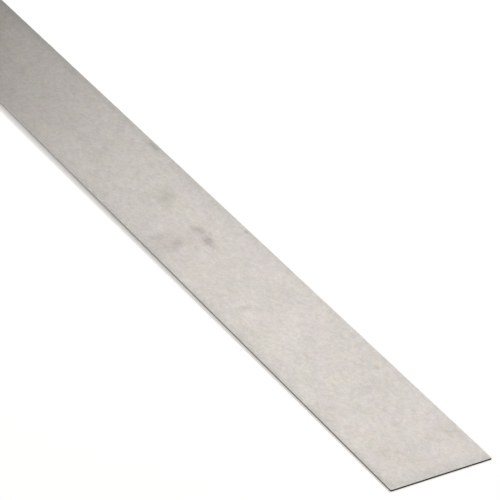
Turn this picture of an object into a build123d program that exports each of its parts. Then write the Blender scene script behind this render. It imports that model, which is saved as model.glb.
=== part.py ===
from build123d import *
import os

# Cold-rolled low-carbon steel flat bar: one piece of strip, slit to width and sheared to length.
# It lies flat on its bottom face. +X runs along its length, +Y across its width and +Z through its
# thickness. The origin is the centre of the bottom face.
#
# A shear leaves the same rim all round the bar. From the top face down, it is a rounded roll-over
# where the blade first bent the steel, a smooth upright land that the blade cut, and a fracture
# that leans inwards where the steel broke. The burr under it is stoned off as a small edge break.

# --- driving dimensions, in millimetres and degrees ---
INCH = 25.4
length = 36 * INCH
width = 2 * INCH
thickness = INCH / 32
corner_radius = 0.5     # the four corners of the outline, dubbed so that they don't cut
rollover_radius = 0.16  # roll-over at the top of the rim
cut_depth = 0.34        # from the top face down to the end of the smooth land
fracture_lean = 6.0     # lean of the fracture from upright, in degrees
edge_break = 0.04       # where the burr was stoned off, round the bottom face


def sheared_blank():
    """The bar as it leaves the shear: a smooth land over a fracture that leans inwards."""
    fracture_height = thickness - cut_depth
    outline = Plane.XY.offset(fracture_height) * RectangleRounded(length, width, corner_radius)
    land = extrude(outline, amount=cut_depth, dir=(0, 0, 1))
    fracture = extrude(outline, amount=fracture_height, dir=(0, 0, -1), taper=fracture_lean)
    return land + fracture


def finished_bar():
    """The sheared blank with its roll-over and its stoned edge."""
    blank = sheared_blank()
    top_rim = blank.faces().sort_by(Axis.Z)[-1].edges()
    rolled = fillet(top_rim, rollover_radius)
    bottom_rim = rolled.faces().sort_by(Axis.Z)[0].edges()
    return chamfer(bottom_rim, edge_break)


os.makedirs("parts", exist_ok=True)
flat_bar = finished_bar()
export_step(flat_bar, "parts/flat_bar.step")
print("flat_bar", flat_bar.bounding_box().size, "volume", round(flat_bar.volume, 1), "mm3")
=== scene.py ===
# %% [markdown]
# # A flat bar of cold-rolled steel
#
# The bar is one piece of strip: 36 in long, 2 in wide and 1/32 in thick. Steel strip like this is rolled
# cold between rolls with a shot-blasted surface, so its faces are matte and have no grinding lines. A
# shear then cuts it from the sheet and leaves a thin rim all round. The rim is painted as a dark line:
# partly the colour of its torn steel, and partly painted shade.
#
# This lesson dresses that bar. It loads the frame, which holds the bar's true size, makes two finishes
# out of nodes, builds the visible bar with Geometry Nodes, and lights it on a white floor. Everything is
# in metres. X runs along the bar, Y across it and Z up. The near end has the highest X, and the left
# side the lowest Y.

import math

import bpy
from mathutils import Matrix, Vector


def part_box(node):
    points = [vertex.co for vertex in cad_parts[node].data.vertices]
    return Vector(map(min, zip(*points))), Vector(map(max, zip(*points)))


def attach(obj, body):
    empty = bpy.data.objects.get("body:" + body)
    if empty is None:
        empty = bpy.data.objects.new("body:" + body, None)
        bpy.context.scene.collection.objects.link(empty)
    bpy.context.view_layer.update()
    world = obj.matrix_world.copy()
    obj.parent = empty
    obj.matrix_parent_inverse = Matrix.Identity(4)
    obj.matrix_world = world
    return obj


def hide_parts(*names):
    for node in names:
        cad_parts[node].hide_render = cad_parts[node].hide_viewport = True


MM = 0.001
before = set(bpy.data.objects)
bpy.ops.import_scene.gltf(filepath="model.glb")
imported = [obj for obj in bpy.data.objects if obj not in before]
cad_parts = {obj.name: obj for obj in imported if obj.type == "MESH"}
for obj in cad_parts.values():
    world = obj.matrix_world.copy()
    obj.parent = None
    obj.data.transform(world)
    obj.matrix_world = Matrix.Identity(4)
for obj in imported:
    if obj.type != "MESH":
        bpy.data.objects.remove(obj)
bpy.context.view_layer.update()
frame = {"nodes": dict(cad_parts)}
low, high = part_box("flat_bar")
length, width, thickness = high - low
print(f"the frame has the nodes {', '.join(frame['nodes'])}")
print(f"the bar is {length / MM:.1f} x {width / MM:.2f} x {thickness / MM:.3f} mm")

# %% [markdown]
# ## Wiring nodes from a script
#
# The finishes and the shape of the bar are all node trees. In the editor one would drag nodes and wires
# by hand. In a script the same tree reads more clearly when one call adds a node and feeds its sockets,
# so this helper comes first. A feed is either a plain number or the output of another node.

# %% A helper that adds a node, and one for sums
def add_node(tree, kind, feeds=None, **settings):
    """Add a node, set its properties, and feed its sockets, which are named or numbered."""
    made = tree.nodes.new(kind)
    for name, value in settings.items():
        setattr(made, name, value)
    for socket, feed in (feeds or {}).items():
        if isinstance(feed, bpy.types.NodeSocket):
            tree.links.new(feed, made.inputs[socket])
        else:
            made.inputs[socket].default_value = feed
    return made


def maths(tree, operation, *terms, clamp=False):
    """One sum on numbers. maths(tree, "ADD", a, b) is a + b."""
    feeds = dict(enumerate(terms))
    return add_node(tree, "ShaderNodeMath", feeds, operation=operation, use_clamp=clamp).outputs[0]


def scaled(tree, vector, factor):
    """A colour or vector made larger or smaller by one number."""
    return add_node(tree, "ShaderNodeVectorMath", {0: vector, 3: factor}, operation="SCALE").outputs[0]


def product(tree, one, other):
    """Two colours or vectors multiplied, each part with its own part."""
    return add_node(tree, "ShaderNodeVectorMath", {0: one, 1: other}, operation="MULTIPLY").outputs[0]


def mixed(tree, factor, colour_at_0, colour_at_1):
    """A colour between two others."""
    feeds = {"Factor": factor, 6: colour_at_0, 7: colour_at_1}
    return add_node(tree, "ShaderNodeMix", feeds, data_type="RGBA").outputs[2]


print("helpers for nodes: add_node, maths, scaled, product and mixed")

# %% [markdown]
# ## A spread and a cloud
#
# Most of what a finish does is to turn one number into another, and to vary it a little from place to
# place. A Map Range node does the first and a Noise Texture the second. The noise is used in four
# dimensions. The fourth is its seed, so two clouds of one size don't fall on each other, and every run
# gives the same ones.

# %% Helpers for a spread and for noise
CLOUD = (0.25, 0.75)    # noise seldom leaves this range
MEAN = 0.5              # and this is its average


def spread(tree, value, start, end, low_value=0.0, high_value=1.0, smooth=False):
    """A value that goes from low_value to high_value while the given one goes from start to end."""
    curve = "SMOOTHSTEP" if smooth else "LINEAR"
    feeds = {0: value, 1: start, 2: end, 3: low_value, 4: high_value}
    return add_node(tree, "ShaderNodeMapRange", feeds, interpolation_type=curve).outputs[0]


def noise(tree, where, feature_size, seed, detail=2.0, roughness=0.5):
    """A soft random cloud, about 0.5 on average. feature_size is the width of one blotch, in metres."""
    feeds = {"Vector": where, "W": seed, "Scale": 1 / feature_size, "Detail": detail, "Roughness": roughness}
    return add_node(tree, "ShaderNodeTexNoise", feeds, noise_dimensions="4D").outputs[0]


def around_one(tree, cloud, contrast):
    """A factor that goes as far below one as above it, where the cloud is thin or dense."""
    return spread(tree, cloud, *CLOUD, 1 - contrast, 1 + contrast)


print(f"a cloud counts as thin at {CLOUD[0]} and as dense at {CLOUD[1]}")

# %% [markdown]
# ## The mill finish
#
# The faces of the bar are bare steel with the print of blasted rolls. Seen close it has flecks of a
# millimetre or two. Seen from further off it has soft clouds a few centimetres wide, because the strip
# isn't equally bright everywhere. Rolling has drawn them all out a little along the bar.
#
# One could paint this as an image. Noise is better here: it has no seam, it stays sharp however near the
# eye comes, and each layer has a real size in millimetres. The noise reads Object coordinates, which
# are metres on the bar itself. Their X is divided by a stretch first, and that draws the clouds out.

# %% Start the mill finish
mill = bpy.data.materials.new("mill_finish")
mill.use_nodes = True
mill_tree = mill.node_tree
mill_shader = mill_tree.nodes["Principled BSDF"]
mill_shader.inputs["Metallic"].default_value = 1.0
on_bar = add_node(mill_tree, "ShaderNodeTexCoord").outputs["Object"]
print(f"{mill.name} is a metal")

# %% Roll in the grain and the flecks
STRETCH = 1.5
GRAIN, GRAIN_DETAIL, GRAIN_CONTRAST = 30 * MM, 6, 0.12
FLECK, FLECK_DETAIL, FLECK_CONTRAST = 2.1 * MM, 3, 0.155
drawn_out = product(mill_tree, on_bar, (1 / STRETCH, 1, 1))
grain = noise(mill_tree, drawn_out, GRAIN, seed=1, detail=GRAIN_DETAIL, roughness=1.0)
flecks = noise(mill_tree, drawn_out, FLECK, seed=6, detail=FLECK_DETAIL, roughness=1.0)
tone = maths(mill_tree, "MULTIPLY", around_one(mill_tree, grain, GRAIN_CONTRAST),
             around_one(mill_tree, flecks, FLECK_CONTRAST))
print(f"the grain goes from {GRAIN / MM:.0f} mm down to {GRAIN / MM / 2 ** GRAIN_DETAIL:.1f} mm")
print(f"the flecks go from {FLECK / MM:.1f} mm down to {FLECK / MM / 2 ** FLECK_DETAIL:.2f} mm")

# %% [markdown]
# ## Patches of tint
#
# Bare steel isn't quite grey. Its oil film and the first trace of oxide give it patches that lean to
# green or to pink, and finer ones that lean to warm or to cool. The tints are so faint that the eye
# takes them for a livelier grey.
#
# One noise could be given all four tints by a Color Ramp, but then they would always follow each other
# in one order. Two noises of different sizes, with two tints each, meet in every combination.

# %% Lay the two kinds of patches
WIDE_PATCH, SMALL_PATCH = 11 * MM, 7 * MM
GREENISH, PINKISH = (1.003, 1.031, 0.966, 1), (0.997, 0.969, 1.034, 1)
WARM, COOL = (1.020, 0.996, 0.984, 1), (0.980, 1.004, 1.016, 1)
wide_patches = noise(mill_tree, drawn_out, WIDE_PATCH, seed=2, detail=4, roughness=0.9)
small_patches = noise(mill_tree, drawn_out, SMALL_PATCH, seed=7, detail=3, roughness=0.8)
wide_tint = mixed(mill_tree, spread(mill_tree, wide_patches, *CLOUD), GREENISH, PINKISH)
small_tint = mixed(mill_tree, spread(mill_tree, small_patches, *CLOUD), WARM, COOL)
print(f"patches of {WIDE_PATCH / MM:.0f} mm and {SMALL_PATCH / MM:.0f} mm tint the steel")

# %% [markdown]
# ## Marks of handling
#
# The bar has been held, stacked and slid. Fingers left greasy spots and a smudge, and a drop of oil
# dried to a faint green stain. Such a mark has a soft outline that the grain breaks up, and it lies on
# the upper face only.
#
# Noise alone can't put a mark where a hand was, so each mark is an oval with a place of its own. A
# Gradient Texture set to Spherical is bright at its origin and fades to nothing one unit away. A Mapping
# node turns, stretches and moves that ball to where the mark is. The ball is thinner than the bar, so it
# never reaches the underside.

# %% A helper that lays one mark on the upper face
MARK_CORE = 0.8    # the ball's value at which the mark has its full strength


def mark(tree, where, from_end, from_side, along, across, turn):
    """1 in the middle of an oval mark and 0 outside it. Its place is counted from the near left corner."""
    feeds = {
        "Vector": where,
        "Location": (high.x - from_end, low.y + from_side, high.z),
        "Rotation": (0, 0, math.radians(turn)),
        "Scale": (along, across, thickness / 2),
    }
    moved = add_node(tree, "ShaderNodeMapping", feeds, vector_type="TEXTURE").outputs[0]
    ball = add_node(tree, "ShaderNodeTexGradient", {"Vector": moved}, gradient_type="SPHERICAL")
    return spread(tree, ball.outputs["Fac"], 0.0, MARK_CORE, smooth=True)


print(f"a mark reaches {thickness / 2 / MM:.2f} mm into the bar")

# %% List the marks of grease
# Each mark: millimetres from the near end and from the left side, half its length and half its width,
# how far it is turned in degrees, and how much darker it makes the steel.
FINGER_TIPS = [
    (221.2, 28.4, 6.6, 4.4, -15, 0.40),
    (215.0, 28.5, 4.6, 2.6, 0, 0.16),
    (211.0, 28.0, 5.0, 4.0, 0, 0.06),
    (233.8, 29.3, 6.0, 4.0, 15, 0.26),
    (228.0, 31.0, 6.5, 4.6, 0, 0.18),
]
SMUDGE = [
    (227.0, 15.0, 6.0, 4.0, 15, 0.15),
    (236.5, 12.0, 6.0, 8.5, 20, 0.13),
    (225.5, 9.0, 6.0, 9.0, -15, 0.11),
    (229.5, 9.5, 14.0, 14.0, 0, 0.13),
    (227.5, 21.0, 11.5, 8.5, 0, 0.09),
]
RUBBED_AT_THE_SIDE = [
    (27.0, 46.0, 10.0, 5.5, 10, 0.09),
    (220.0, 49.4, 3.8, 1.9, 0, 0.26),
    (253.0, 47.5, 5.0, 3.0, 0, 0.06),
    (318.5, 48.6, 8.0, 2.6, 0, 0.20),
    (414.0, 47.0, 8.0, 2.6, 0, 0.06),
]
SMALL_SPOTS = [
    (72.5, 31.5, 4.0, 3.0, 20, 0.06),
    (86.0, 43.5, 3.0, 2.2, 0, 0.14),
    (159.0, 14.5, 3.6, 4.6, 0, 0.15),
    (176.0, 16.5, 3.5, 2.0, 0, 0.06),
    (196.0, 36.0, 6.0, 2.6, -25, 0.05),
    (294.0, 26.5, 5.0, 2.0, -10, 0.06),
    (305.0, 39.0, 7.0, 2.6, 0, 0.05),
    (323.5, 4.5, 3.0, 1.6, 0, 0.08),
    (328.0, 26.0, 5.0, 2.6, 15, 0.07),
    (329.0, 41.5, 5.0, 1.8, -30, 0.07),
    (356.0, 20.0, 5.0, 12.0, 10, 0.04),
    (400.0, 17.0, 5.0, 5.0, 0, 0.04),
    (427.0, 25.0, 8.0, 2.6, -20, 0.08),
]
GREASE_MARKS = FINGER_TIPS + SMUDGE + RUBBED_AT_THE_SIDE + SMALL_SPOTS
print(f"{len(GREASE_MARKS)} grease marks, the darkest takes {max(spot[-1] for spot in GREASE_MARKS):.0%}")

# %% List the marks of oil
OIL_MARKS = [
    (268.5, 31.0, 6.6, 5.0, 20, 0.15),
    (268.5, 27.0, 5.0, 3.6, 0, 0.13),
    (262.0, 27.0, 8.5, 4.4, -15, 0.09),
    (270.5, 34.5, 5.0, 3.6, 0, 0.10),
    (276.0, 31.5, 9.0, 6.0, -10, 0.10),
    (272.0, 47.5, 5.0, 3.5, 0, 0.06),
]
print(f"{len(OIL_MARKS)} oil marks: a dried drop, and where it ran")

# %% [markdown]
# ## Breaking up the outlines
#
# A greasy print is no clean oval. It follows the skin, and the roughness of the steel tears its outline.
# One could draw each outline point by point. It is quicker to disturb the coordinates that all the marks
# read: a noise with a colour output gives a different push along X and along Y. A second noise then thins
# and thickens what lies inside.

# %% Disturb the marks and add them up
WOBBLE, PUSH, BREAK_UP = 2.5 * MM, 4 * MM, 1.6 * MM
THIN, DENSE = 0.3, 0.7
THINNED, THICKENED = 0.72, 1.12
wobble = add_node(mill_tree, "ShaderNodeTexNoise", {"Vector": on_bar, "Scale": 1 / WOBBLE, "Detail": 3})
centred = add_node(mill_tree, "ShaderNodeVectorMath", {0: wobble.outputs["Color"], 1: (MEAN, MEAN, MEAN)},
                   operation="SUBTRACT").outputs[0]
sideways = product(mill_tree, centred, (PUSH, PUSH, 0))
disturbed = add_node(mill_tree, "ShaderNodeVectorMath", {0: on_bar, 1: sideways}, operation="ADD").outputs[0]
breaks = noise(mill_tree, on_bar, BREAK_UP, seed=4, detail=2)
broken = spread(mill_tree, breaks, THIN, DENSE, THINNED, THICKENED)


def layer_of(marks):
    """How much darker all these marks make each place."""
    total = 0.0
    for *sizes, turn, darkness in marks:
        one = mark(mill_tree, disturbed, *(size * MM for size in sizes), turn)
        total = maths(mill_tree, "MULTIPLY_ADD", one, darkness, total)
    return maths(mill_tree, "MULTIPLY", total, broken)


grease = layer_of(GREASE_MARKS)
oil = layer_of(OIL_MARKS)
print(f"the outlines are pushed about by up to {PUSH / 2 / MM:.0f} mm")

# %% [markdown]
# ## Painted shade towards the borders
#
# Towards its borders the face is painted a little darker and cooler. Along the two long sides this is
# painted shade, where the light on the face falls off near the rim. On the left side it is deepest near
# the near end, and on the right side further on. Within a few millimetres of the ends the face is
# simply darker.
#
# One could paint a mask. Here the distance from a side is simply Y and the distance from an end is X, so
# a Map Range makes each band. The grain is added to the distance first, and that keeps a band from being
# ruler-straight.

# %% Measure how far each place is from the borders
RAGGED = 12 * MM
split_place = add_node(mill_tree, "ShaderNodeSeparateXYZ", {0: on_bar})
along_bar, across_bar = split_place.outputs["X"], split_place.outputs["Y"]
raggedness = maths(mill_tree, "MULTIPLY", maths(mill_tree, "SUBTRACT", grain, MEAN), RAGGED)
ragged = maths(mill_tree, "ADD", across_bar, raggedness)
ragged_end = maths(mill_tree, "ADD", maths(mill_tree, "ABSOLUTE", along_bar), raggedness)
print(f"a band's border wanders by up to {RAGGED / 4 / MM:.0f} mm")

# %% Paint shade on the steel towards the borders
# How far in from the border each band starts, and where it is full: the left one only beyond the border.
LEFT_STARTS, LEFT_FULL = 5 * MM, -1.5 * MM
RIGHT_STARTS, END_STARTS, BORDER_FULL = 7 * MM, 9 * MM, 0.5 * MM
LEFT_SHADE, RIGHT_SHADE, END_DARKENING = (1.15, 0.1), (0.2, 0.6), 0.5
NEAR_STRETCH = (high.x - 2 * width, high.x - 7 * width)


def side_shade(inner, outer, darkened):
    """Painted shade on one long side. darkened holds its amount near the near end and further on."""
    near_side = spread(mill_tree, ragged, inner, outer, smooth=True)
    amount = spread(mill_tree, along_bar, *NEAR_STRETCH, *darkened)
    return maths(mill_tree, "MULTIPLY", near_side, amount)


# Painted shade along the two long sides, and a plain darkening towards the ends.
left_shade = side_shade(low.y + LEFT_STARTS, low.y + LEFT_FULL, LEFT_SHADE)
right_shade = side_shade(high.y - RIGHT_STARTS, high.y - BORDER_FULL, RIGHT_SHADE)
end_darkness = spread(mill_tree, ragged_end, high.x - END_STARTS, high.x - BORDER_FULL, 0.0, END_DARKENING,
                  smooth=True)
border = maths(mill_tree, "MAXIMUM", maths(mill_tree, "ADD", left_shade, right_shade), end_darkness)
bands = ", ".join(f"{start / MM:.0f} mm" for start in (LEFT_STARTS, RIGHT_STARTS, END_STARTS))
print(f"the left side, the right side and the ends are dulled for {bands}")

# %% [markdown]
# ## Bringing the colour together
#
# On a metal the Base Color is the colour of its reflections. All the layers meet there, in this order:
# the warm grey steel with its painted shade and darkening towards the borders, the tints, the light and
# dark of the grain, the grease, and the dried oil on top.
#
# A layer that only filters the light, such as a tint, is multiplied. Grease takes away a share of the
# brightness, so it is subtracted from the grain's factor, and its film is a little warm. Oil covers the
# steel with a colour of its own, so it is mixed in.

# %% Bring the colour together
STEEL = (0.66, 0.635, 0.605, 1)
# The steel's colour under the painted shade at its borders.
SHADED_EDGE_STEEL = (0.56, 0.555, 0.54, 1)
DRIED_OIL = (0.12, 0.18, 0.01, 1)
CLEAR, GREASE_TINT = (1, 1, 1, 1), (1, 0.94, 0.93, 1)
steel = mixed(mill_tree, border, STEEL, SHADED_EDGE_STEEL)
steel = product(mill_tree, steel, wide_tint)
steel = product(mill_tree, steel, small_tint)
steel = scaled(mill_tree, steel, maths(mill_tree, "SUBTRACT", tone, grease))
steel = product(mill_tree, steel, mixed(mill_tree, grease, CLEAR, GREASE_TINT))
steel = mixed(mill_tree, oil, steel, DRIED_OIL)
mill_tree.links.new(steel, mill_shader.inputs["Base Color"])
print(f"the clean steel reflects {STEEL[1]:.0%} of the green light")

# %% [markdown]
# ## How softly the faces shine
#
# Most of the rolls' print is finer than the eye can part, but it decides how the bar shines: it spreads
# each reflection into a broad, soft glow. To model it would take millions of points. The shader's
# Roughness does the same to the light, and a noise of small specks makes it vary. Grease fills the print,
# so a mark shines a little more sharply. The coarsest part of the print, about half a millimetre, can
# just be seen. It is a faint Bump.

# %% Scatter the light with roughness and a fine bump
SPECK, PRINT = 0.9 * MM, 0.6 * MM
SHARPEST, SOFTEST, GREASE_SHINE = 0.34, 0.42, -0.3
PRINT_DEPTH, PRINT_STRENGTH = 0.02 * MM, 0.35
specks = noise(mill_tree, on_bar, SPECK, seed=3, detail=3, roughness=0.6)
softness = spread(mill_tree, specks, *CLOUD, SHARPEST, SOFTEST)
softness = maths(mill_tree, "MULTIPLY_ADD", grease, GREASE_SHINE, softness)
mill_tree.links.new(softness, mill_shader.inputs["Roughness"])
print_height = noise(mill_tree, on_bar, PRINT, seed=5, detail=3, roughness=0.6)
mill_bump = add_node(mill_tree, "ShaderNodeBump", {
    "Strength": PRINT_STRENGTH, "Distance": PRINT_DEPTH, "Height": print_height})
mill_tree.links.new(mill_bump.outputs[0], mill_shader.inputs["Normal"])
print(f"{mill.name} has {len(mill_tree.nodes)} nodes")

# %% [markdown]
# ## The rows of the sheared rim
#
# All round the bar the shear left a rim less than a millimetre high. It shows as a dark line, partly by
# the colour of its torn steel and partly by painted shade. From the bottom up it has the stoned edge,
# which is bright, the fracture, where the steel tore, the land, which the blade rubbed smooth, and the
# roll-over, where it first pulled the steel down.
#
# The shape and the finish both need to know where one zone ends. So the zones are settled here, as rows
# of points. The shape stores on every point how far up the rim its row is, from 0 to 1, and the finish
# reads that attribute. A limit in millimetres would be off wherever the rim is uneven.

# %% Count the rows of each zone
BREAK_ROWS, FRACTURE_ROWS, LAND_ROWS, ROLL_ROWS = 1, 4, 2, 5
ALL_ROWS = BREAK_ROWS + FRACTURE_ROWS + LAND_ROWS + ROLL_ROWS
BREAK_TOP = BREAK_ROWS / ALL_ROWS
FRACTURE_TOP = (BREAK_ROWS + FRACTURE_ROWS) / ALL_ROWS
LAND_TOP = (BREAK_ROWS + FRACTURE_ROWS + LAND_ROWS) / ALL_ROWS
RUBBED_ROWS = 2    # of the roll-over
RUBBED_TOP = LAND_TOP + RUBBED_ROWS / ALL_ROWS
print(f"the fracture ends at {FRACTURE_TOP:.2f} and the land at {LAND_TOP:.2f} of the rim's rows")

# %% [markdown]
# ## The finish of the rim
#
# The land is grey, with fine upright scores where the blade slid past. The fracture is rough and darker,
# with pits that hold oil. Both colours are much darker than bare steel: partly the rim's own oily, torn
# surface, and partly painted shade on the thin edge. One material covers both, and the row decides which
# is seen. Its limit is shifted by the scores, because a real land ends in a ragged line.
#
# The scores are the same noise as everywhere, but with Z squeezed, so each blotch is as tall as the rim.

# %% Start the finish of the rim
rim = bpy.data.materials.new("sheared_rim")
rim.use_nodes = True
rim_tree = rim.node_tree
rim_shader = rim_tree.nodes["Principled BSDF"]
rim_shader.inputs["Metallic"].default_value = 1.0
on_rim_place = add_node(rim_tree, "ShaderNodeTexCoord").outputs["Object"]
up_the_rim = add_node(rim_tree, "ShaderNodeAttribute", attribute_name="up_the_rim").outputs["Fac"]
SCORE, PIT, SQUEEZE = 0.12 * MM, 0.1 * MM, 0.08
scores = noise(rim_tree, product(rim_tree, on_rim_place, (1, 1, SQUEEZE)), SCORE, seed=6, detail=2)
pits = noise(rim_tree, on_rim_place, PIT, seed=7, detail=4, roughness=0.65)
print(f"a score is {SCORE / MM:.2f} mm wide and {SCORE / SQUEEZE / MM:.1f} mm tall")

# %% Part the land from the fracture
# Partly painted shade: these colours are much darker than bare steel, and they deepen the rim's dark line.
LAND, LAND_SCORE = (0.20, 0.196, 0.19, 1), (0.12, 0.118, 0.114, 1)
TORN, TORN_DEEP = (0.10, 0.098, 0.094, 1), (0.03, 0.029, 0.028, 1)
RAGGED_ROWS, SOFT_ROWS = 0.12, 0.03
land_steel = mixed(rim_tree, spread(rim_tree, scores, THIN, DENSE), LAND_SCORE, LAND)
torn_steel = mixed(rim_tree, spread(rim_tree, pits, THIN, DENSE), TORN_DEEP, TORN)
score_shift = maths(rim_tree, "SUBTRACT", scores, MEAN)
ragged_height = maths(rim_tree, "MULTIPLY_ADD", score_shift, RAGGED_ROWS, up_the_rim)
on_land = spread(rim_tree, ragged_height, FRACTURE_TOP - SOFT_ROWS, FRACTURE_TOP + SOFT_ROWS)
rim_steel = mixed(rim_tree, on_land, torn_steel, land_steel)
print(f"the land reflects {LAND[1]:.0%} and the deepest pits {TORN_DEEP[1]:.0%}")

# %% [markdown]
# ## Painted shade at the ends, a painted reflection in the middle
#
# The rim of the two cut ends is painted near black: painted shade where an end meets the table. Along the
# long sides the rim is painted lighter towards the middle of the bar. This is a painted reflection of the
# bright paper, which the rim sees where the strip stands clear of the table. So the rim is blackest at
# the ends and gets lighter towards the middle of the bar.
#
# Both can be said with one number, the distance from the middle of the bar, which is the absolute value
# of X.

# %% Shade the rim along the bar and finish it
END_SHADE, MIDDLE_REFLECTION = 0.19, 4.2
END_SHADE_STARTS, END_SHADE_FULL, REFLECTION_FULL_WITHIN = 1.5 * MM, 0.5 * MM, high.x / 4
TORN_SOFTNESS, LAND_SOFTNESS = 0.75, 0.4
PIT_DEPTH, PIT_STRENGTH = 0.02 * MM, 0.6
rim_along = add_node(rim_tree, "ShaderNodeSeparateXYZ", {0: on_rim_place}).outputs["X"]
from_middle = maths(rim_tree, "ABSOLUTE", rim_along)
# Painted shade: the rim turns near black at both cut ends.
painted_end_shade = spread(rim_tree, from_middle, high.x - END_SHADE_STARTS, high.x - END_SHADE_FULL, 1.0, END_SHADE)
# Painted reflection: the rim grows lighter towards the middle of the bar.
painted_middle_reflection = spread(rim_tree, from_middle, high.x, REFLECTION_FULL_WITHIN, 1.0, MIDDLE_REFLECTION)
rim_steel = scaled(rim_tree, rim_steel, maths(rim_tree, "MULTIPLY", painted_end_shade, painted_middle_reflection))
rim_tree.links.new(rim_steel, rim_shader.inputs["Base Color"])
rim_softness = spread(rim_tree, on_land, 0, 1, TORN_SOFTNESS, LAND_SOFTNESS)
rim_tree.links.new(rim_softness, rim_shader.inputs["Roughness"])
rim_bump = add_node(rim_tree, "ShaderNodeBump", {
    "Strength": PIT_STRENGTH, "Distance": PIT_DEPTH, "Height": pits})
rim_tree.links.new(rim_bump.outputs[0], rim_shader.inputs["Normal"])
print(f"{rim.name} has {len(rim_tree.nodes)} nodes")

# %% [markdown]
# ## The shape: a tree with named sizes
#
# The bar's shape follows a rule: one section of the rim runs all round a rectangle with dubbed corners,
# and the two faces close it above and below. It could be extruded and bevelled by hand. Geometry Nodes
# suit it better, because every size is an input with a name, and the bar is remade when one changes.

# %% Open the tree and give it its inputs
shape = bpy.data.node_groups.new("sheared_flat_bar", "GeometryNodeTree")
SIZES = {
    "Length": length,
    "Width": width,
    "Thickness": thickness,
    "Corner Radius": 0.5 * MM,
    "Roll-over": 0.16 * MM,
    "Cut Depth": 0.34 * MM,
    "Fracture Lean": math.radians(6.0),
    "Edge Break": 0.04 * MM,
    "Step": 1.25 * MM,
    "Wander": 0.035 * MM,
    "Tear": 0.012 * MM,
    "Wave": 0.006 * MM,
    "Seed": 11.0,
}
sockets = {}
for name, value in SIZES.items():
    item = shape.interface.new_socket(name, in_out="INPUT", socket_type="NodeSocketFloat")
    sockets[name] = item.identifier
for name in ("Mill Finish", "Sheared Rim"):
    item = shape.interface.new_socket(name, in_out="INPUT", socket_type="NodeSocketMaterial")
    sockets[name] = item.identifier
shape.interface.new_socket("Geometry", in_out="OUTPUT", socket_type="NodeSocketGeometry")
given = add_node(shape, "NodeGroupInput").outputs
print(f"the tree has {len(sockets)} inputs")

# %% [markdown]
# ## The section of the rim
#
# Looked at from its end, the rim is a short line from the border of the underside up to the border of
# the upper face. Five corners draw it: X says how far in from the true outline each lies, and Z how
# high. The fracture leans inwards towards its foot, and the foot itself is stoned off.
#
# Every corner is worked out from the inputs, so the section follows when the thickness or the cut
# changes.

# %% Find the five corners of the section
def section_corner(inset, height):
    """A corner of the section."""
    return add_node(shape, "ShaderNodeCombineXYZ", {"X": inset, "Z": height}).outputs[0]


ROLL_RUN_OUT = 1.5    # the upper face starts this many roll-over radii in
lean, edge_break, roll_over = given["Fracture Lean"], given["Edge Break"], given["Roll-over"]
cut_line = maths(shape, "SUBTRACT", given["Thickness"], given["Cut Depth"])
in_at_foot = maths(shape, "MULTIPLY", maths(shape, "TANGENT", lean), cut_line)
break_in = maths(shape, "MULTIPLY", edge_break, maths(shape, "SINE", lean))
break_up = maths(shape, "MULTIPLY", edge_break, maths(shape, "COSINE", lean))
section_corners = [
    section_corner(maths(shape, "ADD", in_at_foot, edge_break), 0.0),
    section_corner(maths(shape, "SUBTRACT", in_at_foot, break_in), break_up),
    section_corner(0.0, cut_line),
    section_corner(0.0, given["Thickness"]),
    section_corner(maths(shape, "MULTIPLY", roll_over, ROLL_RUN_OUT), given["Thickness"]),
]
print(f"{len(section_corners)} corners draw the section")

# %% [markdown]
# ## Rounding and dividing the section
#
# The roll-over is a small round between the side and the upper face. Fillet Curve makes it, with a radius
# at that one corner and none at the others. Subdivide Curve then divides each straight zone into its
# rows. Both read a list with one value for each corner, which is what an Index Switch gives.

# %% Round the roll-over and divide the zones
point_number = add_node(shape, "GeometryNodeInputIndex").outputs[0]


def pick(kind, values):
    """An Index Switch: the first point gets the first value, and so on."""
    made = add_node(shape, "GeometryNodeIndexSwitch", data_type=kind)
    for _ in values[2:]:
        made.index_switch_items.new()
    shape.links.new(point_number, made.inputs[0])
    for at, value in enumerate(values, start=1):
        if isinstance(value, bpy.types.NodeSocket):
            shape.links.new(value, made.inputs[at])
        else:
            made.inputs[at].default_value = value
    return made.outputs[0]


RADII = [0.0, 0.0, 0.0, roll_over, 0.0]
CUTS = [BREAK_ROWS - 1, FRACTURE_ROWS - 1, LAND_ROWS - 1, 0, 0]
loose_corners = add_node(shape, "GeometryNodeMeshLine", {"Count": len(section_corners)}).outputs[0]
placed = add_node(shape, "GeometryNodeSetPosition", {
    "Geometry": loose_corners, "Position": pick("VECTOR", section_corners)}).outputs[0]
drawn = add_node(shape, "GeometryNodeMeshToCurve", {0: placed}).outputs[0]
rounded = add_node(shape, "GeometryNodeFilletCurve", {
    "Curve": drawn, "Count": ROLL_ROWS - 1, "Radius": pick("FLOAT", RADII)}, mode="POLY").outputs[0]
section = add_node(shape, "GeometryNodeSubdivideCurve", {
    "Curve": rounded, "Cuts": pick("INT", CUTS)}).outputs[0]
counted = add_node(shape, "GeometryNodeAttributeDomainSize", {0: section}, component="CURVE")
section_points = counted.outputs["Point Count"]
print(f"the section is divided into {ALL_ROWS} rows")

# %% [markdown]
# ## A block of points to push into shape
#
# One could sweep the section round the outline as a profile. Its ends would then have to be sewn to two
# flat faces, and the corners would be crowded. A Mesh Cube is closed from the start, and it can have as
# many points along each side as one likes, with as many layers as the section has rows. So the block
# stands for the bar, and each of its points is only moved.

# %% Divide the block
CORNER_CELLS = 3


def cells_along(side):
    """How many cells a side of the bar has: even steps on the straight, and a few round each corner."""
    straight = maths(shape, "SUBTRACT", side, maths(shape, "MULTIPLY", given["Corner Radius"], 2.0))
    steps = maths(shape, "ROUND", maths(shape, "DIVIDE", straight, given["Step"]))
    return maths(shape, "ADD", steps, 2.0 * CORNER_CELLS)


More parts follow.
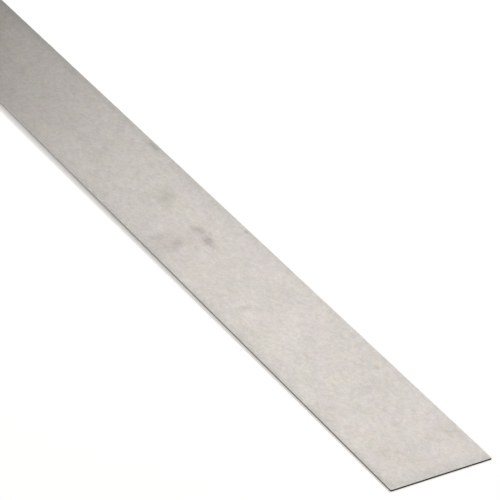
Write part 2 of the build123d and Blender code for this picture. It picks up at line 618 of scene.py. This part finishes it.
cells_x, cells_y = cells_along(given["Length"]), cells_along(given["Width"])
block = add_node(shape, "GeometryNodeMeshCube", {
    "Size": (2, 2, 2),
    "Vertices X": maths(shape, "ADD", cells_x, 1.0),
    "Vertices Y": maths(shape, "ADD", cells_y, 1.0),
    "Vertices Z": section_points}).outputs[0]
point_place = add_node(shape, "GeometryNodeInputPosition").outputs[0]
in_block = add_node(shape, "ShaderNodeSeparateXYZ", {0: point_place}).outputs
print(f"a cell of the faces is about {SIZES['Step'] / MM:.2f} mm long")

# %% Look up each point's row in the section
last_row = maths(shape, "SUBTRACT", section_points, 1.0)
share_up = spread(shape, in_block["Z"], -1.0, 1.0)
row_number = maths(shape, "ROUND", maths(shape, "MULTIPLY", share_up, last_row))
looked_up = add_node(shape, "GeometryNodeSampleIndex", data_type="FLOAT_VECTOR")
shape.links.new(section, looked_up.inputs["Geometry"])
shape.links.new(add_node(shape, "GeometryNodeInputPosition").outputs[0], looked_up.inputs["Value"])
shape.links.new(row_number, looked_up.inputs["Index"])
at_row = add_node(shape, "ShaderNodeSeparateXYZ", {0: looked_up.outputs[0]}).outputs
row_inset, row_height = at_row["X"], at_row["Z"]
print("each layer of the block has found its row")

# %% [markdown]
# ## The corners of the plan
#
# Seen from above, the bar's corners are dubbed: a file has taken off their points, with a radius of half
# a millimetre. The straight sides keep even cells and the corner gets three small ones each way.
#
# The little square of cells at a corner has to be bent into a quarter of a disc. With both its shares
# from 0 to 1, multiplying each by the square root of one minus half the other's square does that. The
# sides of the square land on the arc, and no cell is folded. The rows further in have a smaller radius,
# so the rim stays equally wide all round.

# %% Tell the straight run from the corner
def run_and_bend(share, cells):
    """How far a point is along its straight run, and how far into the corner, each from 0 to 1."""
    half = maths(shape, "DIVIDE", cells, 2.0)
    from_centre = maths(shape, "MULTIPLY", maths(shape, "ABSOLUTE", share), half)
    straight = maths(shape, "SUBTRACT", half, float(CORNER_CELLS))
    run = maths(shape, "DIVIDE", from_centre, straight, clamp=True)
    past = maths(shape, "SUBTRACT", from_centre, straight)
    return run, maths(shape, "DIVIDE", past, float(CORNER_CELLS), clamp=True)


share_x, share_y = in_block["X"], in_block["Y"]
run_x, bend_x = run_and_bend(share_x, cells_x)
run_y, bend_y = run_and_bend(share_y, cells_y)
print(f"{CORNER_CELLS} cells bend round each corner")

# %% Place the points in the plan
def plan(share, side, run, bend, other_bend):
    """Where a point lies along one axis of the plan."""
    straight = maths(shape, "SUBTRACT", maths(shape, "DIVIDE", side, 2.0), given["Corner Radius"])
    radius = maths(shape, "SUBTRACT", given["Corner Radius"], row_inset)
    square = maths(shape, "MULTIPLY", other_bend, other_bend)
    pull = maths(shape, "SQRT", maths(shape, "MULTIPLY_ADD", square, -0.5, 1.0))
    round_part = maths(shape, "MULTIPLY", radius, maths(shape, "MULTIPLY", bend, pull))
    out = maths(shape, "MULTIPLY_ADD", straight, run, round_part)
    return maths(shape, "MULTIPLY", out, maths(shape, "SIGN", share))


plan_x = plan(share_x, given["Length"], run_x, bend_x, bend_y)
plan_y = plan(share_y, given["Width"], run_y, bend_y, bend_x)
bar_place = add_node(shape, "ShaderNodeCombineXYZ", {"X": plan_x, "Y": plan_y, "Z": row_height}).outputs[0]
share_of_rows = maths(shape, "DIVIDE", row_number, last_row)
tagged = add_node(shape, "GeometryNodeStoreNamedAttribute", {
    "Geometry": block, "Name": "up_the_rim", "Value": share_of_rows}).outputs[0]
bent = add_node(shape, "GeometryNodeSetPosition", {"Geometry": tagged, "Position": bar_place}).outputs[0]
print("every point has its place and carries up_the_rim")

# %% [markdown]
# ## What the shear left uneven
#
# The line between land and fracture isn't straight. The steel tears where it is weakest, so the line
# wanders up and down by a few hundredths of a millimetre, and the fracture below it is torn inwards.
# The finish shows the finest of this as bump. What changes the rim's outline is real geometry, and it
# only ever goes inwards, so the bar keeps its size.
#
# Each effect is a noise in the points' own place, times a share that is 1 in its zone and falls to 0 at
# the zone's ends.

# %% Let the cut line wander
up = add_node(shape, "GeometryNodeInputNamedAttribute", {"Name": "up_the_rim"}).outputs[0]
here = add_node(shape, "GeometryNodeInputPosition").outputs[0]


def signed_noise(feature_size, seed_step):
    """Noise from about -1 to 1."""
    seed = maths(shape, "ADD", given["Seed"], float(seed_step))
    return spread(shape, noise(shape, here, feature_size, seed), *CLOUD, -1.0, 1.0)


WANDER_LENGTH = 9 * MM
below_line = spread(shape, up, BREAK_TOP, FRACTURE_TOP)
above_line = spread(shape, up, LAND_TOP, FRACTURE_TOP)
near_line = maths(shape, "MINIMUM", below_line, above_line)
wander = maths(shape, "MULTIPLY", maths(shape, "MULTIPLY", signed_noise(WANDER_LENGTH, 1), near_line),
               given["Wander"])
print(f"the cut line wanders by {SIZES['Wander'] / MM:.3f} mm")

# %% Tear the fracture
TEAR_WIDTH, ONE_ROW = 0.8 * MM, 1 / ALL_ROWS
in_fracture = maths(shape, "MULTIPLY", spread(shape, up, BREAK_TOP, BREAK_TOP + ONE_ROW),
                    spread(shape, up, FRACTURE_TOP, FRACTURE_TOP - ONE_ROW))
tear = maths(shape, "MULTIPLY", spread(shape, signed_noise(TEAR_WIDTH, 2), -1.0, 1.0), given["Tear"])
torn_in = maths(shape, "MULTIPLY", tear, in_fracture)
facing = add_node(shape, "GeometryNodeInputNormal").outputs[0]
inwards = scaled(shape, product(shape, facing, (-1, -1, 0)), torn_in)
print(f"the fracture is torn in by up to {SIZES['Tear'] / MM:.3f} mm")

# %% [markdown]
# ## What the rolls left uneven
#
# Strip this thin is never quite flat. Both faces have long, shallow waves, a few thousandths of a
# millimetre deep. They can't be seen as such, but a reflection that crosses them bends a little.
#
# A bump would do for the look, but a wave this long belongs to the form, so the points are moved. Both
# faces sink towards the middle of the thickness, and the waves fade out at the rim.

# %% Wave the faces and move the points
WAVE_LENGTH, FADE = 60 * MM, 8.0
UNDER, OVER = 0.4, 0.6    # a point below UNDER sinks upwards, one above OVER downwards
from_mid_height = maths(shape, "ABSOLUTE", spread(shape, up, 0.0, 1.0, -1.0, 1.0))
on_face = maths(shape, "POWER", from_mid_height, FADE)
wave_share = spread(shape, noise(shape, here, WAVE_LENGTH, given["Seed"]), *CLOUD)
wave = maths(shape, "MULTIPLY", maths(shape, "MULTIPLY", wave_share, on_face), given["Wave"])
sunk = maths(shape, "MULTIPLY", wave, spread(shape, up, UNDER, OVER, 1.0, -1.0))
lift = add_node(shape, "ShaderNodeCombineXYZ", {"Z": maths(shape, "ADD", wander, sunk)}).outputs[0]
unevenness = add_node(shape, "ShaderNodeVectorMath", {0: inwards, 1: lift}, operation="ADD").outputs[0]
uneven = add_node(shape, "GeometryNodeSetPosition", {"Geometry": bent, "Offset": unevenness}).outputs[0]
print(f"the faces sink by up to {SIZES['Wave'] / MM:.3f} mm")

# %% [markdown]
# ## Two finishes on one bar
#
# Where does the dark rim end? At the bottom it starts above the stoned edge, and at the top the blade has
# rubbed the lower part of the roll-over too, so the rim's dark colour, with its painted shade, reaches
# there. Everything else is mill finish.
#
# The faces could be picked by their angle, but the roll-over turns through all angles. The row is
# certain, so two comparisons of up_the_rim pick the rim. Realize Instances comes before the materials,
# so that what leaves the tree is plain faces.

# %% Shade it and give each zone its finish
shaded = add_node(shape, "GeometryNodeSetShadeSmooth", {"Geometry": uneven}).outputs[0]
realised = add_node(shape, "GeometryNodeRealizeInstances", {"Geometry": shaded}).outputs[0]
milled = add_node(shape, "GeometryNodeSetMaterial", {
    "Geometry": realised, "Material": given["Mill Finish"]}).outputs[0]
over_foot = add_node(shape, "FunctionNodeCompare", {0: up, 1: BREAK_TOP}, operation="GREATER_THAN").outputs[0]
under_roll = add_node(shape, "FunctionNodeCompare", {0: up, 1: RUBBED_TOP}, operation="LESS_THAN").outputs[0]
on_rim = add_node(shape, "FunctionNodeBooleanMath", {0: over_foot, 1: under_roll}, operation="AND").outputs[0]
dressed = add_node(shape, "GeometryNodeSetMaterial", {
    "Geometry": milled, "Selection": on_rim, "Material": given["Sheared Rim"]}).outputs[0]
add_node(shape, "NodeGroupOutput", {"Geometry": dressed})
print(f"the tree has {len(shape.nodes)} nodes")

# %% [markdown]
# ## Making the bar from the tree
#
# A tree makes nothing by itself. It hangs on an object as a modifier, here on an empty holder, and each
# input is set by its socket's identifier before the object is evaluated. The bar could stay a live
# modifier, but then every export would have to work it out again. So the evaluated result is copied
# into a plain mesh, and the holder is thrown away.

# %% Make the bar from the tree
holder = bpy.data.objects.new("holder", bpy.data.meshes.new("holder"))
bpy.context.scene.collection.objects.link(holder)
modifier = holder.modifiers.new("shape", "NODES")
modifier.node_group = shape
for name, value in SIZES.items():
    modifier[sockets[name]] = value
modifier[sockets["Mill Finish"]] = mill
modifier[sockets["Sheared Rim"]] = rim
evaluated = holder.evaluated_get(bpy.context.evaluated_depsgraph_get())
bar_mesh = bpy.data.meshes.new_from_object(evaluated)
bar = bpy.data.objects.new("sheared_bar", bar_mesh)
bpy.context.scene.collection.objects.link(bar)
bpy.data.objects.remove(holder)
triangles = sum(len(face.vertices) - 2 for face in bar_mesh.polygons)
print(f"the bar has {len(bar_mesh.vertices)} points and {triangles} triangles")

# %% Drop the empty slot and count the faces of each finish
bar_mesh.materials.pop(index=0)
for slot_number, finish in enumerate(bar_mesh.materials):
    dressed_faces = sum(face.material_index == slot_number for face in bar_mesh.polygons)
    print(f"{finish.name} covers {dressed_faces} faces")

# %% [markdown]
# ## A flat map of the whole surface
#
# In Blender the finishes read Object coordinates, so the bar needs no UV map. A model that is saved for
# other programs carries its colours as an image, and an image needs a map that says where each face lies
# on it. An automatic unwrap lays the bar out in one piece, eighteen times as long as it is wide, and most
# of the square stays empty.
#
# A maker would cut such a strip into lengths and stack them. This map does the same: the upper face in
# four lengths, the underside in two, then the long sides and the ends. The upper face gets most of the
# room because it shows most. None of the finishes reads this map.

# %% Stack the zones of the map
MAP_SIDE, MAP_GAP = 1024, 2
ZONES = {"top": (4, 200), "underside": (2, 80), "left": (2, 8), "right": (2, 8), "ends": (1, 8)}
zone_start = {}
next_line = MAP_GAP
for zone, (lengths, tall) in ZONES.items():
    zone_start[zone] = next_line
    next_line += lengths * (tall + MAP_GAP)
print(f"the map is filled up to line {next_line} of {MAP_SIDE}")

# %% Helpers that find a place on the map
SPARE = 0.004


def on_map(zone, along_share, across_share, length_number):
    """A place on the map, from its shares of the bar's length and width, both 0 to 1."""
    lengths, tall = ZONES[zone]
    in_length = along_share * lengths - length_number
    first_line = zone_start[zone] + length_number * (tall + MAP_GAP)
    return (in_length + SPARE) / (1 + 2 * SPARE), (first_line + tall * across_share) / MAP_SIDE


def share_along(point):
    """How far a point is from the far end, as a share of the bar's length."""
    return (point.x - low.x) / length


def share_across(point):
    """How far a point is from the left side, as a share of the bar's width."""
    return (point.y - low.y) / width


def share_round_ends(point, at_near_end):
    """The two ends share one strip: the near end has its first half and the far end the second."""
    if at_near_end:
        return share_across(point) * (0.5 - SPARE)
    return 1 - share_across(point) * (0.5 - SPARE)


print(f"{SPARE:.1%} of each length stays free at its ends")

# %% Give each face its place on the map
rim_heights = bar_mesh.attributes["up_the_rim"].data
bake_map = bar_mesh.uv_layers.new(name="OFBake")
for face in bar_mesh.polygons:
    ups = [rim_heights[index].value for index in face.vertices]
    points = [bar_mesh.vertices[index].co for index in face.vertices]
    if min(ups) == 1:
        zone = "top"
        shares = [(share_along(point), share_across(point)) for point in points]
    elif max(ups) == 0:
        zone = "underside"
        shares = [(share_along(point), 1 - share_across(point)) for point in points]
    elif high.x - abs(face.center.x) < high.y - abs(face.center.y):
        zone = "ends"
        shares = [(share_round_ends(point, face.center.x > 0), height) for point, height in zip(points, ups)]
    elif face.center.y < 0:
        zone = "left"
        shares = [(share_along(point), height) for point, height in zip(points, ups)]
    else:
        zone = "right"
        shares = [(1 - share_along(point), height) for point, height in zip(points, ups)]
    middle_share = sum(along_share for along_share, _ in shares) / len(shares)
    length_number = int(middle_share * ZONES[zone][0])
    for loop, (along_share, across_share) in zip(face.loop_indices, shares):
        bake_map.data[loop].uv = on_map(zone, along_share, across_share, length_number)
print(f"{len(bar_mesh.polygons)} faces have a place on the map")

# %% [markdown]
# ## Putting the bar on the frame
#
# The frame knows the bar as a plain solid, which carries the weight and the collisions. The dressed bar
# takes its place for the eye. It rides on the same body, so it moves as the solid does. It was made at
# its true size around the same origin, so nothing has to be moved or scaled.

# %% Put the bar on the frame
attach(bar, "root")
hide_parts("flat_bar")
print(f"{bar.name} stands for flat_bar on the body root")

# %% [markdown]
# ## The floor
#
# The bar lies on white paper. Thin strip that comes off a coil keeps a little spring: it rests on its two
# ends, and its middle stands just clear of the table. A thin shadow on the left shows it, narrow at the
# end and wider towards the middle.
#
# The bar could be bent, but then it would no longer be the straight bar that the frame holds. The gap is
# all that shows, so the table dips instead, by the height that the strip would have sprung up. The dip
# follows a cosine along the bar, sharpened by a power, and ends half a metre to each side.

# %% Work out the dip of the table
REACH, NEARBY = 30.0, 0.5
SPRING, SPRING_SHAPE = 1.72 * MM, 1.6
FLOOR_STEPS, LANES = 72, 3


def dip_at(along):
    """How far the table is below the bar, at a place along its length."""
    return SPRING * max(0.0, math.cos(math.pi * along / length)) ** SPRING_SHAPE


print(f"the table dips {dip_at(0.0) / MM:.2f} mm in the middle and {dip_at(high.x) / MM:.2f} mm at the ends")

# %% Make the floor
lines = [-REACH] + [low.x + length * step / FLOOR_STEPS for step in range(FLOOR_STEPS + 1)] + [REACH]
floor_points = []
for along in lines:
    dip = dip_at(along) if low.x <= along <= high.x else 0.0
    floor_points += [(along, -REACH, 0), (along, -NEARBY, -dip), (along, NEARBY, -dip), (along, REACH, 0)]
floor_faces = []
for line in range(len(lines) - 1):
    for lane in range(LANES):
        here_on, there_on = (LANES + 1) * line + lane, (LANES + 1) * (line + 1) + lane
        floor_faces.append((here_on, there_on, there_on + 1, here_on + 1))
floor_mesh = bpy.data.meshes.new("floor")
floor_mesh.from_pydata(floor_points, [], floor_faces)
floor_mesh.shade_smooth()
floor = bpy.data.objects.new("studio_floor", floor_mesh)
bpy.context.scene.collection.objects.link(floor)
print(f"the floor has {len(floor_faces)} faces")

# %% Cover the floor with white paper
PAPER_WHITE, PAPER_ROUGHNESS = (0.9, 0.9, 0.915, 1), 0.9
paper = bpy.data.materials.new("white_paper")
paper.use_nodes = True
paper_shader = paper.node_tree.nodes["Principled BSDF"]
paper_shader.inputs["Base Color"].default_value = PAPER_WHITE
paper_shader.inputs["Roughness"].default_value = PAPER_ROUGHNESS
floor_mesh.materials.append(paper)
print(f"{floor.name} is covered with {paper.name}")

# %% [markdown]
# ## The room around the bar
#
# A metal has no colour of its own apart from what it reflects, so the room is half of its look. Here the
# walls are pale and the bar would be flat white among them. A dark board, which studios call a flag,
# stands beyond the far end, a little to the right. From the camera the whole bar reflects it, so the
# steel turns grey, and the lights decide where it grows bright again.
#
# Such a room could be built from planes. The world does it without any: the direction of a ray decides
# how brightly the room glows there. The dot product with the flag's direction is the cosine of the angle
# between them, so the flag has a soft border from 20 to 45 degrees. Near the horizon and overhead the
# glow stays even.

# %% Paint the room
HORIZON_GLOW, WALL_GLOW, FLAG_GLOW, ZENITH_GLOW = 0.9, 0.68, 0.03, 0.9
FLAG_TOWARDS, FLAG_INNER, FLAG_OUTER = (-0.756, 0.50, 0.42), 20, 45
HORIZON_BAND, OVERHEAD_BAND = (4, 10), (55, 75)
WARM_ROOM = (1.04, 1.0, 0.955)
world = bpy.data.worlds.new("studio")
world.use_nodes = True
world_tree = world.node_tree
direction = add_node(world_tree, "ShaderNodeTexCoord").outputs["Generated"]
upwards = add_node(world_tree, "ShaderNodeSeparateXYZ", {0: direction}).outputs["Z"]
to_flag = add_node(world_tree, "ShaderNodeVectorMath", {0: direction, 1: FLAG_TOWARDS},
                   operation="DOT_PRODUCT").outputs["Value"]
flag_border = [math.cos(math.radians(angle)) for angle in (FLAG_OUTER, FLAG_INNER)]
walls = spread(world_tree, to_flag, *flag_border, WALL_GLOW, FLAG_GLOW, smooth=True)
overhead_border = [math.sin(math.radians(angle)) for angle in OVERHEAD_BAND]
overhead = spread(world_tree, upwards, *overhead_border, smooth=True)
horizon_border = [math.sin(math.radians(angle)) for angle in HORIZON_BAND]
at_horizon = spread(world_tree, upwards, *horizon_border, 1, 0, smooth=True)
glow = add_node(world_tree, "ShaderNodeMix", {0: overhead, 2: walls, 3: ZENITH_GLOW}).outputs[0]
glow = add_node(world_tree, "ShaderNodeMix", {0: at_horizon, 2: glow, 3: HORIZON_GLOW}).outputs[0]
world_tree.links.new(glow, world_tree.nodes["Background"].inputs["Strength"])
world_tree.nodes["Background"].inputs["Color"].default_value = (*WARM_ROOM, 1)
bpy.context.scene.world = world
bpy.context.scene.view_settings.view_transform = "Standard"
print(f"the walls glow {WALL_GLOW} and the flag {FLAG_GLOW}")

# %% [markdown]
# ## Three soft lights
#
# A large window stands to the right, a little beyond the middle of the bar, and is turned towards its
# near half. The matte face spreads the reflection widely, so the near half is bright and the tone falls
# to grey at the far end. A fill on the left lights the floor and the rim on that side. A long narrow
# strip far to the right throws the thin shadow.
#
# One light could hardly do all three jobs, because a wide one has no sharp shadow, and a narrow one
# reflects as a hard streak. The strip's own reflection would wash the bar out to the white of the floor
# when one looks from the other side, so the strip is left out of reflections. It still lights the floor.

# %% Hang the lights
WARM_WHITE, PLAIN_WHITE = (1.0, 0.978, 0.965), (1, 1, 1)


def soft_light(name, colour, stands_at, aims_at, sides, power):
    """A rectangular softbox that the camera doesn't see."""
    box_light = bpy.data.lights.new(name, "AREA")
    box_light.shape = "RECTANGLE"
    box_light.size, box_light.size_y = sides
    box_light.energy, box_light.color = power, colour
    lamp = bpy.data.objects.new(name, box_light)
    lamp.location = stands_at
    lamp.rotation_euler = (Vector(aims_at) - Vector(stands_at)).to_track_quat("-Z", "Y").to_euler()
    lamp.visible_camera = False
    bpy.context.scene.collection.objects.link(lamp)
    print(f"{name}: {sides[0]} x {sides[1]} m, {power} W, {Vector(stands_at).length:.2f} m from the bar")
    return lamp


soft_light("window", WARM_WHITE, stands_at=(-0.30, 0.50, 0.61), aims_at=(0.3, 0.0, 0.0),
           sides=(0.8, 0.5), power=1.75)
strip = soft_light("strip", PLAIN_WHITE, stands_at=(0.12, 1.10, 0.95), aims_at=(0.15, 0.0, 0.0),
                   sides=(1.2, 0.12), power=9.9)
strip.visible_glossy = False
soft_light("fill", WARM_ROOM, stands_at=(0.4, -0.9, 1.3), aims_at=(0.2, 0.0, 0.0),
           sides=(1.4, 1.0), power=6.3)

# %% [markdown]
# ## The camera
#
# The eye stands beyond the near end and to the left, and looks down along the bar. A long lens from
# further off keeps the sides nearly parallel, as a product view should. A wide lens from close by would
# make the near end huge. The place is in metres, and two angles turn the sight: the heading, counted
# from the bar's own direction, and the pitch below the level.

# %% Stand the camera
CAMERA_PLACE = (1.3632, -0.5842, 0.7525)
HEADING, PITCH = math.radians(28.4393), math.radians(30.7657)
LENS, SENSOR = 219.60, 36.0
NEAREST, FURTHEST = 0.01, 200.0
eye = bpy.data.cameras.new("camera")
eye.lens, eye.sensor_width = LENS, SENSOR
eye.clip_start, eye.clip_end = NEAREST, FURTHEST
camera = bpy.data.objects.new("camera", eye)
camera.location = CAMERA_PLACE
sight = Vector((-math.cos(HEADING) * math.cos(PITCH), math.sin(HEADING) * math.cos(PITCH), -math.sin(PITCH)))
camera.rotation_euler = sight.to_track_quat("-Z", "Y").to_euler()
bpy.context.scene.collection.objects.link(camera)
bpy.context.scene.camera = camera
view_angle = math.degrees(2 * math.atan(SENSOR / 2 / LENS))
print(f"the camera sees {view_angle:.1f} degrees from {(Vector(CAMERA_PLACE) - high).length:.2f} m away")
